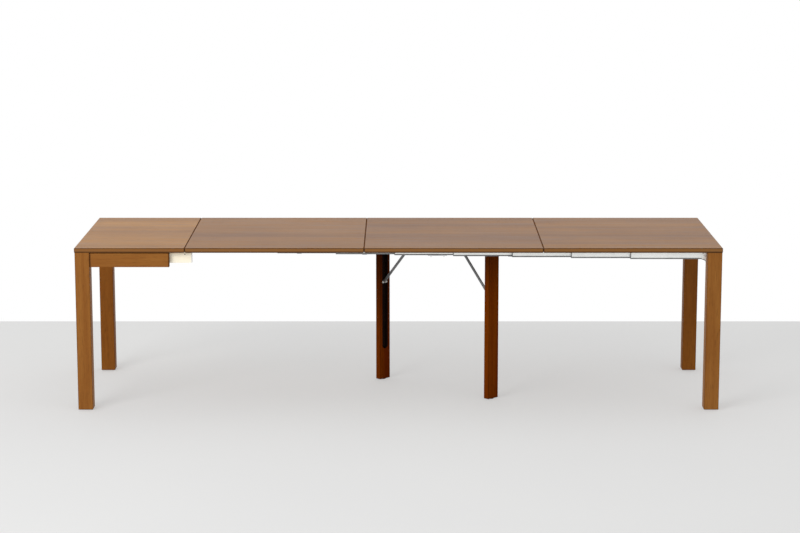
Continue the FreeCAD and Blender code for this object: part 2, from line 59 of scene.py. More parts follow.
def srgb(red: int, green: int, blue: int) -> Colour:
    """Turns a display colour into the linear colour that shaders take, by the sRGB curve.

    Args:
        red: red from 0 to 255.
        green: green from 0 to 255.
        blue: blue from 0 to 255.

    Returns:
        The linear colour with full opacity.
    """
    knee, slope, offset, power = 0.04045, 12.92, 0.055, 2.4
    parts = np.array([red, green, blue]) / 255
    linear = np.where(parts <= knee, parts / slope, ((parts + offset) / (1 + offset)) ** power)
    return (*linear.tolist(), 1.0)


class Axis(Enum):
    """The axes along the table, across it and up, as places in a point."""

    X = 0
    Y = 1
    Z = 2


class Grain(Enum):
    """The way the fibres of a board run, as the squeeze of the pattern along each axis."""

    EVEN = (1.0, 1.0, 1.0)
    ALONG_X = (0.045, 1.0, 1.0)
    ALONG_Y = (1.0, 0.045, 1.0)
    ALONG_Z = (1.0, 1.0, 0.045)


class Course(Enum):
    """The way a strip runs: the places of its section's two measures and its length among x, y and z."""

    LENGTHWISE = (2, 0, 1)
    CROSSWISE = (0, 2, 1)


class Way(Enum):
    """The way a fastener's head faces."""

    DOWN = (0.0, 0.0, -1.0)
    FRONT = (0.0, -1.0, 0.0)
    REAR = (0.0, 1.0, 0.0)


@dataclass(frozen=True)
class Pattern:
    """A noise pattern: its scale, its detail, its distortion and its weight beside others."""

    scale: float
    detail: float
    distortion: float = 0.0
    weight: float = 1.0


@dataclass(frozen=True)
class Span:
    """A stretch of a value from low to high, and what it turns into at its start and its end."""

    low: float
    high: float
    start: object = 0.0
    end: object = 1.0


CLOUD = Pattern(2.6, 2.0, 0.5, weight=0.19)
FIGURE = Pattern(5.0, 3.0, 0.9, weight=0.38)
STREAK = Pattern(48.0, 4.0, 0.4, weight=0.32)
FIBRE = Pattern(310.0, 2.0, weight=0.11)
PORES = Pattern(520.0, 1.0)
PORE_DEPTH = 0.6
PATCHES = Pattern(14.0, 5.0, 0.6, weight=0.7)
SPECKS = Pattern(230.0, 3.0, weight=0.3)
DRAWN_LINES = Pattern(900.0, 2.0)
SPARK_TEXTURE = Pattern(1500.0, 1.0)
FLOOR_PATCHES = Pattern(0.6, 2.0)

BOARD_TONES = Span(0.41, 0.59)
PORE_SHARE = Span(0.6, 0.72, 0.0, 0.45)
STREAK_SHEEN = Span(0.3, 0.7, -0.05, 0.07)
WORN_SHARE = Span(0.4, 0.62)
WORN_SHEEN = Span(0.3, 0.7, -0.04, 0.05)
SLANT_SHARE = Span(0.2, 0.3)
UPRIGHT_SHARE = Span(0.1, 0.3, 1.0, 0.0)


@dataclass
class Graph:
    """A node tree with short calls that add nodes and join them."""

    tree: bpy.types.NodeTree

    def feed(self, value: object, socket: bpy.types.NodeSocket) -> None:
        """Links a socket to an input, or sets a plain value on it.

        Args:
            value: an output socket or a plain value.
            socket: the input.
        """
        if isinstance(value, bpy.types.NodeSocket):
            self.tree.links.new(value, socket)
        else:
            socket.default_value = value

    def add(
        self,
        kind: str,
        inputs: dict[object, object] | None = None,
        **settings: object,
    ) -> bpy.types.Node:
        """Adds a node.

        Args:
            kind: the node's type name.
            inputs: values or sockets by input name or number.
            **settings: the node's own properties.

        Returns:
            The new node.
        """
        node = self.tree.nodes.new(kind)
        for name, value in settings.items():
            setattr(node, name, value)
        for key, value in (inputs or {}).items():
            self.feed(value, node.inputs[key])
        return node

    def noise(self, vector: object, pattern: Pattern) -> bpy.types.NodeSocket:
        """Adds a noise pattern.

        Args:
            vector: the places it is read at.
            pattern: its scale, detail and distortion.

        Returns:
            Its value from 0 to 1.
        """
        inputs = {
            "Vector": vector,
            "Scale": pattern.scale,
            "Detail": pattern.detail,
            "Distortion": pattern.distortion,
        }
        return self.add("ShaderNodeTexNoise", inputs).outputs[0]

    def math(self, operation: str, a: object, b: object) -> bpy.types.NodeSocket:
        """Adds one sum, product or other operation on two values."""
        return self.add("ShaderNodeMath", {0: a, 1: b}, operation=operation).outputs[0]

    def span(self, value: object, span: Span) -> bpy.types.NodeSocket:
        """Maps a value along a span, held at both ends.

        Args:
            value: the value that is read.
            span: its stretch and what it turns into.

        Returns:
            The mapped value.
        """
        inputs = {
            "Value": value,
            "From Min": span.low,
            "From Max": span.high,
            "To Min": span.start,
            "To Max": span.end,
        }
        return self.add("ShaderNodeMapRange", inputs).outputs[0]

    def mix(self, share: object, a: object, b: object) -> bpy.types.NodeSocket:
        """Mixes two colours, the second by its share; 6, 7 and 2 are the Mix node's colour sockets."""
        return self.add("ShaderNodeMix", {0: share, 6: a, 7: b}, data_type="RGBA").outputs[2]

    def bump(self, height: object, strength: float, depth: float) -> bpy.types.NodeSocket:
        """Adds a bump of the given depth in metres and returns its normal."""
        inputs = {"Height": height, "Strength": strength, "Distance": depth}
        return self.add("ShaderNodeBump", inputs).outputs[0]

    def object_place(self) -> bpy.types.NodeSocket:
        """Object coordinates, which are the frame's own at rest."""
        return self.add("ShaderNodeTexCoord").outputs["Object"]

    def place(self, grain: Grain, shift: Triple = (0.0, 0.0, 0.0)) -> bpy.types.NodeSocket:
        """Object coordinates, squeezed along the grain and shifted by a Mapping node."""
        inputs = {"Vector": self.object_place(), "Location": shift, "Scale": grain.value}
        return self.add("ShaderNodeMapping", inputs).outputs[0]


def new_group(name: str, inputs: dict[str, str], outputs: dict[str, str]) -> tuple[Graph, dict, dict]:
    """Starts a shader node group.

    Args:
        name: the group's name.
        inputs: socket type by input name.
        outputs: socket type by output name.

    Returns:
        The group's graph, its inputs inside the group and its outputs inside the group, by name.
    """
    tree = bpy.data.node_groups.new(name, "ShaderNodeTree")
    for sockets, way in ((inputs, "INPUT"), (outputs, "OUTPUT")):
        for socket, kind in sockets.items():
            tree.interface.new_socket(socket, in_out=way, socket_type=kind)
    graph = Graph(tree)
    given = graph.add("NodeGroupInput").outputs
    taken = graph.add("NodeGroupOutput").inputs
    return graph, {n: given[n] for n in inputs}, {n: taken[n] for n in outputs}


def weigh(graph: Graph, patterns: dict[Pattern, bpy.types.NodeSocket]) -> bpy.types.NodeSocket:
    """Adds up pattern values, each times its pattern's weight.

    Args:
        graph: the graph that holds them.
        patterns: each pattern with its value.

    Returns:
        The sum.
    """
    total = 0.0
    for pattern, value in patterns.items():
        total = graph.math("ADD", graph.math("MULTIPLY", value, pattern.weight), total)
    return total


def make_wood_group() -> bpy.types.NodeTree:
    """Builds the grain of a board: broad clouds, figure, streaks, fine fibres and dark pores.

    Returns:
        A group that takes plain and stretched places and tones, and gives colour, roughness and height.
    """
    vector, colour, value = "NodeSocketVector", "NodeSocketColor", "NodeSocketFloat"
    tones = {"Light": colour, "Dark": colour, "Pore": colour}
    graph, given, taken = new_group(
        "board_grain",
        {"Place": vector, "Fibres": vector, **tones, "Polish": value},
        {"Color": colour, "Roughness": value, "Height": value},
    )
    patterns = {CLOUD: graph.noise(given["Place"], CLOUD)}
    for pattern in (FIGURE, STREAK, FIBRE):
        patterns[pattern] = graph.noise(given["Fibres"], pattern)
    tone = weigh(graph, patterns)
    body = graph.mix(graph.span(tone, BOARD_TONES), given["Dark"], given["Light"])
    pore = graph.span(graph.noise(given["Fibres"], PORES), PORE_SHARE)
    graph.feed(graph.mix(pore, body, given["Pore"]), taken["Color"])
    sheen = graph.span(patterns[STREAK], STREAK_SHEEN)
    graph.feed(graph.math("ADD", given["Polish"], sheen), taken["Roughness"])
    graph.feed(graph.math("SUBTRACT", tone, graph.math("MULTIPLY", pore, PORE_DEPTH)), taken["Height"])
    return graph.tree


def make_handling_group() -> bpy.types.NodeTree:
    """Builds the faint unevenness that handling leaves on metal and plastic.

    Returns:
        A group that takes coordinates, a colour and a roughness, and gives both with cloudy patches.
    """
    colour, value = "NodeSocketColor", "NodeSocketFloat"
    graph, given, taken = new_group(
        "handling_marks",
        {"Vector": "NodeSocketVector", "Color": colour, "Worn": colour, "Roughness": value},
        {"Color": colour, "Roughness": value},
    )
    patterns = {pattern: graph.noise(given["Vector"], pattern) for pattern in (PATCHES, SPECKS)}
    share = graph.span(weigh(graph, patterns), WORN_SHARE)
    graph.feed(graph.mix(share, given["Color"], given["Worn"]), taken["Color"])
    sheen = graph.span(patterns[PATCHES], WORN_SHEEN)
    graph.feed(graph.math("ADD", given["Roughness"], sheen), taken["Roughness"])
    return graph.tree


def make_edge_group() -> bpy.types.NodeTree:
    """Builds the masks of a board's edges from its faces' normals, after a turn about the upright axis.

    Returns:
        A group that gives Arris, 1 on faces that slant between two axes, and Upright, 1 on upright faces.
    """
    value = "NodeSocketFloat"
    graph, given, taken = new_group("board_edges", {"Turn": value}, {"Arris": value, "Upright": value})
    normal = graph.add("ShaderNodeTexCoord").outputs["Normal"]
    inputs = {"Vector": normal, "Angle": given["Turn"]}
    turned = graph.add("ShaderNodeVectorRotate", inputs, rotation_type="Z_AXIS")
    x, y, z = graph.add("ShaderNodeSeparateXYZ", {0: turned.outputs[0]}).outputs
    slant = 0.0
    for first, second in ((x, y), (y, z), (x, z)):
        product = graph.math("MULTIPLY", first, second)
        slant = graph.math("ADD", graph.math("ABSOLUTE", product, 0.0), slant)
    graph.feed(graph.span(slant, SLANT_SHARE), taken["Arris"])
    graph.feed(graph.span(graph.math("ABSOLUTE", z, 0.0), UPRIGHT_SHARE), taken["Upright"])
    return graph.tree


WOOD_GROUP = make_wood_group()
HANDLING_GROUP = make_handling_group()
EDGE_GROUP = make_edge_group()


def new_material(name: str) -> tuple[bpy.types.Material, Graph, bpy.types.Node]:
    """Starts a material.

    Args:
        name: the material's name.

    Returns:
        The material, its graph and its Principled shader.
    """
    material = bpy.data.materials.new(name)
    material.use_nodes = True
    graph = Graph(material.node_tree)
    return material, graph, material.node_tree.nodes["Principled BSDF"]


@dataclass(frozen=True)
class Stain:
    """A stain's tones and sheen, and how it lies on lippings and on eased edges."""

    light: Colour
    dark: Colour
    pore: Colour
    gloss: float
    polish: float = 0.4
    arris: float = 0.0
    lipping: Colour | None = None
    turn: float = 0.0


@dataclass(frozen=True)
class Shade:
    """Painted shade: a darkening along an axis, from its start to its full share at the end."""

    axis: Axis
    start: float
    end: float
    share: float


@dataclass(frozen=True)
class WoodFinish:
    """A stain on one kind of board: the way its grain runs, its piece of the pattern, and painted shade at
    its ends and along its lipping's edges.
    """

    name: str
    stain: Stain
    grain: Grain
    shift: float = 0.0
    shades: tuple[Shade, ...] = ()
    lip_shades: tuple[Shade, ...] = ()
    wander: Triple = (1.0, 1.7, 0.6)
    relief: float = 0.00025
    relief_strength: float = 0.5
    lip_share: float = 0.85
    arris_roughness: float = 0.95

    def darken(self, graph: Graph, colour: object, shades: tuple[Shade, ...]) -> object:
        """Paints shade: mixes the stain's darkest tone into a colour along each shade's axis.

        Args:
            graph: the material's graph.
            colour: the colour to start from.
            shades: where shade is painted.

        Returns:
            The colour, or the socket that gives it.
        """
        parts = graph.add("ShaderNodeSeparateXYZ", {0: graph.object_place()}).outputs
        for shade in shades:
            span = Span(shade.start, shade.end, 0.0, shade.share)
            colour = graph.mix(graph.span(parts[shade.axis.value], span), colour, self.stain.pore)
        return colour

    def material(self) -> bpy.types.Material:
        """Makes the material.

        Returns:
            The material, ready for a node.
        """
        material, graph, shader = new_material(self.name)
        stain = self.stain
        away = tuple(self.shift * part for part in self.wander)
        inputs = {
            "Place": graph.place(Grain.EVEN, away),
            "Fibres": graph.place(self.grain, away),
            "Light": stain.light,
            "Dark": stain.dark,
            "Pore": stain.pore,
            "Polish": stain.polish,
        }
        board = graph.add("ShaderNodeGroup", inputs, node_tree=WOOD_GROUP).outputs
        edges = graph.add("ShaderNodeGroup", {"Turn": stain.turn}, node_tree=EDGE_GROUP).outputs
        colour = board["Color"]
        if stain.lipping:
            # painted shade along the lipping's upper and lower edges
            band = self.darken(graph, stain.lipping, self.lip_shades)
            colour = graph.mix(graph.math("MULTIPLY", edges["Upright"], self.lip_share), colour, band)
        # painted shade where boards meet legs, and toward the middle legs' tops under the table
        if self.shades:
            colour = self.darken(graph, colour, self.shades)
        colour = graph.mix(graph.math("MULTIPLY", edges["Arris"], stain.arris), colour, stain.pore)
        graph.feed(colour, shader.inputs["Base Color"])
        dulled = Span(0.0, 1.0, board["Roughness"], self.arris_roughness)
        graph.feed(graph.span(edges["Arris"], dulled), shader.inputs["Roughness"])
        normal = graph.bump(board["Height"], self.relief_strength, self.relief)
        graph.feed(normal, shader.inputs["Normal"])
        shader.inputs["Specular IOR Level"].default_value = stain.gloss
        return material


@dataclass(frozen=True)
class WornFinish:
    """What metal and plastic share: two tones and a roughness, with the marks of handling."""

    name: str
    colour: Colour
    worn: Colour
    roughness: float

    def start(self) -> tuple[bpy.types.Material, Graph, bpy.types.Node]:
        """Starts the material with its colour and roughness.

        Returns:
            The material, its graph and its shader.
        """
        material, graph, shader = new_material(self.name)
        inputs = {
            "Vector": graph.place(Grain.EVEN),
            "Color": self.colour,
            "Worn": self.worn,
            "Roughness": self.roughness,
        }
        marks = graph.add("ShaderNodeGroup", inputs, node_tree=HANDLING_GROUP).outputs
        graph.feed(marks["Color"], shader.inputs["Base Color"])
        graph.feed(marks["Roughness"], shader.inputs["Roughness"])
        return material, graph, shader


@dataclass(frozen=True)
class MetalFinish(WornFinish):
    """A metal with fine lines along one axis, such as drawn aluminium or rolled steel."""

    grain: Grain
    metallic: float = 1.0
    relief: float = 0.00002
    relief_strength: float = 0.35

    def material(self) -> bpy.types.Material:
        """Makes the material.

        Returns:
            The material, ready for a node.
        """
        material, graph, shader = self.start()
        lines = graph.noise(graph.place(self.grain), DRAWN_LINES)
        graph.feed(graph.bump(lines, self.relief_strength, self.relief), shader.inputs["Normal"])
        shader.inputs["Metallic"].default_value = self.metallic
        return material


@dataclass(frozen=True)
class MouldedFinish(WornFinish):
    """A moulded plastic with a fine spark-eroded texture."""

    gloss: float = 0.5
    relief: float = 0.00006
    relief_strength: float = 0.3

    def material(self) -> bpy.types.Material:
        """Makes the material.

        Returns:
            The material, ready for a node.
        """
        material, graph, shader = self.start()
        texture = graph.noise(graph.place(Grain.EVEN), SPARK_TEXTURE)
        graph.feed(graph.bump(texture, self.relief_strength, self.relief), shader.inputs["Normal"])
        shader.inputs["Specular IOR Level"].default_value = self.gloss
        return material


CONSOLE_STAIN = Stain(
    light=srgb(176, 124, 60),
    dark=srgb(144, 98, 50),
    pore=srgb(60, 32, 12),
    gloss=0.14,
    arris=0.9,
    lipping=srgb(124, 80, 38),
)
# The leaves' stain: partly their own wood, partly painted shade, its tones darker than the console's for
# light falling off toward the right end.
LEAF_SHADE_STAIN = Stain(
    light=srgb(152, 105, 54),
    dark=srgb(122, 82, 48),
    pore=srgb(54, 28, 10),
    gloss=0.14,
    arris=0.9,
    lipping=srgb(130, 88, 44),
)
FRAME_STAIN = Stain(
    light=srgb(150, 99, 44),
    dark=srgb(132, 81, 32),
    pore=srgb(76, 40, 12),
    gloss=0.08,
    polish=0.5,
    arris=0.7,
)
# A darker copy of the frame stain for the rear legs: painted shade, since they stand further in the table's
# shade.
REAR_SHADE_STAIN = Stain(
    light=srgb(137, 84, 31),
    dark=srgb(118, 67, 20),
    pore=srgb(66, 33, 9),
    gloss=0.05,
    polish=0.5,
    arris=0.7,
)
SUPPORT_STAIN = Stain(
    light=srgb(112, 51, 2),
    dark=srgb(91, 31, 1),
    pore=srgb(26, 6, 1),
    gloss=0.005,
    polish=0.5,
    arris=0.6,
    turn=math.radians(45),
)
RAW_BEECH = Stain(
    light=srgb(255, 250, 233),
    dark=srgb(249, 239, 214),
    pore=srgb(226, 206, 168),
    gloss=0.3,
    polish=0.5,
)

BEECH = WoodFinish("raw_beech", RAW_BEECH, Grain.ALONG_X)
ALUMINIUM = MetalFinish("drawn_aluminium", srgb(253, 254, 252), srgb(247, 249, 247), 0.42, Grain.ALONG_X)
ZINC = MetalFinish("zinc_plate", srgb(168, 170, 172), srgb(146, 149, 152), 0.42, Grain.ALONG_Y)
BRIGHT_ZINC = MetalFinish("bright_zinc", srgb(196, 197, 196), srgb(168, 169, 170), 0.3, Grain.ALONG_Z)
STAY_PAINT = MetalFinish("grey_stay", srgb(128, 129, 130), srgb(112, 113, 115), 0.4, Grain.ALONG_Z, 0.5)
# Grey for the rails' end caps, and for strips that paint shade under the rails and along the gussets'
# hollow edges.
GREY_SHADE_TRIM = MouldedFinish("grey_shade_trim", srgb(134, 136, 137), srgb(120, 122, 123), 0.5)
NYLON = MouldedFinish("pale_nylon", srgb(236, 234, 227), srgb(224, 222, 215), 0.45)
# A brown sheet in the leaves' seams: painted shade of the gaps.
SEAM_SHADE_BROWN = MouldedFinish("seam_shade_brown", srgb(158, 106, 66), srgb(144, 94, 58), 0.9, gloss=0.0)
# Near-black sheet lining the middle legs' grooves: painted shade of the deep grooves.
GROOVE_SHADE_BLACK = MouldedFinish("groove_shade_black", srgb(26, 12, 8), srgb(20, 9, 6), 0.7, gloss=0.08)
GREY_PLASTIC = MouldedFinish("grey_plastic", srgb(122, 121, 118), srgb(108, 107, 104), 0.5)
DARK_PLASTIC = MouldedFinish("dark_plastic", srgb(46, 44, 42), srgb(36, 34, 33), 0.55)


class Shelf:
    """The materials that several sub-assemblies share, each made once."""

    def __init__(self) -> None:
        """Makes every shared material."""
        self.beech = BEECH.material()
        self.metal = ALUMINIUM.material()
        self.zinc = ZINC.material()
        self.bright = BRIGHT_ZINC.material()
        self.stay = STAY_PAINT.material()
        self.strip = GREY_SHADE_TRIM.material()
        self.nylon = NYLON.material()
        self.seam = SEAM_SHADE_BROWN.material()
        # the grooves' black sheet of painted shade
        self.track = GROOVE_SHADE_BLACK.material()
        self.plastic = GREY_PLASTIC.material()
        self.dark = DARK_PLASTIC.material()


def dress(node: str, material: bpy.types.Material) -> None:
    """Puts a finish on a node of the frame.

    Args:
        node: the node's name.
        material: the finish.
    """
    target = frame["nodes"][node]
    if not target.material_slots:
        target.data.materials.append(material)
    for place in target.material_slots:
        place.material = material
    LOG.info("%s takes %s", node, material.name)


def closed_rings(rows: int, columns: int, copies: int) -> list[list[int]]:
    """Faces of closed tubes: quads between rings of points, and one flat face at each end.

    Args:
        rows: rings in each tube.
        columns: points in each ring; the last joins the first.
        copies: how many tubes follow each other in the list of points.

    Returns:
        The point numbers of every face.
    """
    row, column = np.meshgrid(np.arange(rows - 1), np.arange(columns), indexing="ij")
    after = (column + 1) % columns
    start, end = row * columns, (row + 1) * columns
    quads = np.stack([start + column, start + after, end + after, end + column], axis=-1).reshape(-1, 4)
    first = np.arange(columns)[::-1]
    last = np.arange(columns) + (rows - 1) * columns
    faces = []
    for offset in np.arange(copies) * rows * columns:
        faces += (quads + offset).tolist() + [(first + offset).tolist(), (last + offset).tolist()]
    return faces


def mesh_piece(name: str, points: np.ndarray, faces: list[list[int]]) -> bpy.types.Object:
    """Makes an object at the origin from an array of points and lists of faces.

    Args:
        name: the piece's name.
        points: one row of x, y and z for each point.
        faces: the point numbers of each face.

    Returns:
        The new object.
    """
    mesh = bpy.data.meshes.new(name)
    mesh.from_pydata(points.tolist(), [], faces)
    mesh.validate()
    piece = bpy.data.objects.new(name, mesh)
    bpy.context.scene.collection.objects.link(piece)
    return piece


def fit_out(piece: bpy.types.Object, body: str, finish: bpy.types.Material) -> None:
    """Gives a new piece its finish, and lets it ride on a body.

    Args:
        piece: the new piece.
        body: the body that it rides on.
        finish: its finish.
    """
    piece.data.materials.append(finish)
    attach(piece, body)
    LOG.info("%s rides on %s", piece.name, body)


@dataclass
class Strips:
    """Straight strips, each a closed section carried from end to end along or across the table."""

    name: str
    body: str
    finish: bpy.types.Material
    slot: str = "grey_plastic"
    course: Course = Course.LENGTHWISE
    ease: float = 0.4 * MM
    runs: list[tuple[np.ndarray, float, float]] = field(default_factory=list)

    def run(self, section: np.ndarray, start: float, end: float) -> None:
        """Adds one strip; its section goes round anticlockwise as it is drawn."""
        self.runs.append((section, start, end))

    def build(self) -> None:
        """Carries each section along its strip, a little smaller at both ends for an eased edge."""
        order = -1 if self.course is Course.CROSSWISE else 1
        sheets = []
        for section, start, end in self.runs:
            middle = (section.min(0) + section.max(0)) / 2
            half = (section.max(0) - section.min(0)) / 2
            small = middle + (section - middle) * (1 - self.ease / half)
            rings = [(start, small), (start + self.ease, section), (end - self.ease, section), (end, small)]
            for place, ring in rings:
                measures = np.column_stack([ring, np.full(len(ring), place)])
                sheets.append(measures[::order, self.course.value])
        faces = closed_rings(len(sheets) // len(self.runs), len(sheets[0]), len(self.runs))
        fit_out(mesh_piece(self.name, np.concatenate(sheets), faces), self.body, self.finish)


def mirrored(section: np.ndarray) -> np.ndarray:
    """A section on the front side turned into the one that faces it on the rear side."""
    return section[::-1] * np.array([-1.0, 1.0])


@dataclass
class Fasteners:
    """A set of like heads on one body, each with a domed edge and a six-sided socket."""

    name: str
    body: str
    radius: float
    height: float
    finish: bpy.types.Material
    slot: str = "zinc_steel"
    sides: int = 24
    flat_share: float = 0.55
    wall_share: float = 0.45
    dome_points: int = 5
    socket_mouth: float = 0.46
    socket_base: float = 0.44
    socket_level: float = 0.4
    upright_limit: float = 0.9
    seats: list[tuple[np.ndarray, np.ndarray]] = field(default_factory=list)

    def seat(self, point: Triple, facing: Triple) -> None:
        """Adds one head that sits on a point and faces a way."""
        self.seats.append((np.array(point, float), np.array(facing, float) / np.linalg.norm(facing)))

    def section(self) -> np.ndarray:
        """The head's outline: up from its seat, over a quarter ellipse and down into the socket.

        Returns:
            Rows of radius, height and the share by which a point follows the socket's hexagon.
        """
        turn = np.linspace(0, math.pi / 2, self.dome_points)
        reach = self.flat_share + (1 - self.flat_share) * np.cos(turn)
        rise = self.wall_share + (1 - self.wall_share) * np.sin(turn)
        dome = np.stack([reach, rise, 0 * turn], axis=1)
        socket = [[self.socket_mouth, 1.0, 1.0], [self.socket_base, self.socket_level, 1.0]]
        outline = np.concatenate([[[1.0, 0.0, 0.0]], dome, socket])
        return outline * np.array([self.radius, self.height, 1.0])

    def build(self) -> None:
        """Turns the outline round each seat's axis; the socket's radius follows a hexagon's polar form."""
        outline = self.section()
        angle = np.linspace(0, 2 * math.pi, self.sides, endpoint=False)
        sector = math.pi / 3
        hexagon = math.cos(sector / 2) / np.cos(np.mod(angle, sector) - sector / 2)
        radius = outline[:, 0:1] * (1 + outline[:, 2:3] * (hexagon[None] - 1))
        sheets = []
        for point, axis in self.seats:
            side = np.cross(axis, UPRIGHT if abs(axis[2]) < self.upright_limit else SIDEWAYS)
            side = side / np.linalg.norm(side)
            other = np.cross(axis, side)
            ring = np.cos(angle)[:, None] * side + np.sin(angle)[:, None] * other
            sheets.append(point + radius[..., None] * ring[None] + outline[:, 1][:, None, None] * axis)
        points = np.concatenate([sheet.reshape(-1, 3) for sheet in sheets])
        faces = closed_rings(len(outline), self.sides, len(self.seats))
        fit_out(mesh_piece(self.name, points, faces), self.body, self.finish)


def two_sides(front: float) -> list[tuple[float, str]]:
    """A place across the table on the front side and the one that faces it, with the side's name."""
    return [(front, "front"), (-front, "rear")]


def joint_shade_lines(axis: Axis, low: float, high: float) -> tuple[Shade, Shade]:
    """The painted shade lines at a board's two ends, where it meets its legs or ends in the open.

    Args:
        axis: the way the board runs.
        low: the place of its first end.
        high: the place of its last end.

    Returns:
        The two lines.
    """
    near, far, share = 3.0 * MM, 7.0 * MM, 0.85
    return Shade(axis, low + far, low + near, share), Shade(axis, high - far, high - near, share)


def lipping_shade_lines(node: str) -> tuple[Shade, Shade]:
    """Painted shade lines along the upper and lower edge of a board's lipping, the lower one stronger.

    Args:
        node: the board.

    Returns:
        The two lines.
    """
    low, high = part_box(node)
    upper_far, upper_near, upper_share = 7.0 * MM, 3.0 * MM, 0.3
    lower_far, lower_near, lower_share = 9.0 * MM, 6.0 * MM, 0.7
    upper = Shade(Axis.Z, high.z - upper_far, high.z - upper_near, upper_share)
    lower = Shade(Axis.Z, low.z + lower_far, low.z + lower_near, lower_share)
    return upper, lower


def dress_leg(node: str, shift: float) -> None:
    """Stains an end leg; the rear legs take a darker copy of the front legs' stain, painted shade for their
    place in the table's shade.
    """
    stain = FRAME_STAIN if node.endswith("front") else REAR_SHADE_STAIN
    dress(node, WoodFinish(f"{node}_wood", stain, Grain.ALONG_Z, shift).material())


@dataclass
class Console:
    """The fixed end: top, left legs, aprons, braces, fixed rails and loper guides."""

    leg_shift: float = 0.3
    apron_shift: float = 0.8
    end_apron_shift: float = 1.1
    screw_radius: float = 4.0 * MM
    screw_height: float = 2.2 * MM
    flange_screws: int = 3
    flange_thickness: float = 4.0 * MM
    flange_edge: float = 11.0 * MM
    nut_radius: float = 7.0 * MM
    nut_height: float = 6.0 * MM
    nut_sides: int = 6

    def dress(self, shelf: Shelf) -> None:
        """Puts the finishes on the console's nodes.

        Args:
            shelf: the shared materials.
        """
        # painted shade along the top's lipping edges
        edge = lipping_shade_lines("console_top")
        top = WoodFinish("console_top_wood", CONSOLE_STAIN, Grain.ALONG_X, lip_shades=edge)
        dress("console_top", top.material())
        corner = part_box("left_leg_front")[1]
        # painted shade where the aprons meet the legs and at their open ends
        lines = joint_shade_lines(Axis.X, corner.x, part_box("front_apron")[1].x)
        apron = WoodFinish("apron_wood", FRAME_STAIN, Grain.ALONG_X, self.apron_shift, lines)
        lengthwise = apron.material()
        for side in SIDES:
            dress_leg(f"left_leg_{side}", self.leg_shift)
            dress(f"{side}_apron", lengthwise)
            dress(f"fixed_rail_{side}", shelf.metal)
        # painted shade where the end apron meets the legs
        lines = joint_shade_lines(Axis.Y, corner.y, -corner.y)
        crosswise = WoodFinish("end_apron_wood", FRAME_STAIN, Grain.ALONG_Y, self.end_apron_shift, lines)
        dress("end_apron", crosswise.material())
        dress("loper_guides", shelf.metal)
        dress("corner_braces", shelf.zinc)
        dress("left_glides", shelf.dark)

    def build(self, shelf: Shelf) -> None:
        """Makes the screws of the fixed rails and the nuts of the corner braces.

        Args:
            shelf: the shared materials.
        """
        screws = Fasteners("flange_screws", "base", self.screw_radius, self.screw_height, shelf.bright)
        low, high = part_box("fixed_rail_front")
        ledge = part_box("console_top")[0].z - self.flange_thickness
        for x in np.linspace(low.x, high.x, self.flange_screws + 2)[1:-1]:
            for y, _ in two_sides(high.y - self.flange_edge):
                screws.seat((x, y, ledge), Way.DOWN.value)
        screws.build()
        nuts = Fasteners("brace_nuts", "base", self.nut_radius, self.nut_height, shelf.bright)
        nuts.sides = self.nut_sides
        brace_low, brace_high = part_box("corner_braces")
        corner_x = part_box("end_apron")[1].x
        corner_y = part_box("front_apron")[1].y
        reach = (brace_high.x - corner_x) / 2
        middle = (brace_low.z + brace_high.z) / 2
        for y, side in two_sides(corner_y + reach):
            inward = 1.0 if side == "front" else -1.0
            nuts.seat((corner_x + reach, y, middle), (1.0, inward, 0.0))
        nuts.build()


@dataclass
class Lopers:
    """The two sliding bearers under the first seam with their caps and stop pins."""

    pin_radius: float = 2.2 * MM
    pin_height: float = 1.4 * MM
    pin_drop: float = 11.0 * MM

    def dress(self, shelf: Shelf) -> None:
        """Puts the finishes on the lopers.

        Args:
            shelf: the shared materials.
        """
        for side in SIDES:
            dress(f"{side}_loper", shelf.beech)
            dress(f"{side}_loper_cap", shelf.nylon)

    def build(self, shelf: Shelf) -> None:
        """Makes the stop pin on each loper's outer face, under the seam.

        Args:
            shelf: the shared materials.
        """
        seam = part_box("console_top")[1].x
        for side, way in zip(SIDES, (Way.FRONT, Way.REAR)):
            low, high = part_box(f"{side}_loper")
            name, body = f"{side}_loper_pin", f"{side}_loper_body"
            pin = Fasteners(name, body, self.pin_radius, self.pin_height, shelf.dark, "grey_plastic")
            face = low.y if side == "front" else high.y
            pin.seat((seam, face, high.z - self.pin_drop), way.value)
            pin.build()


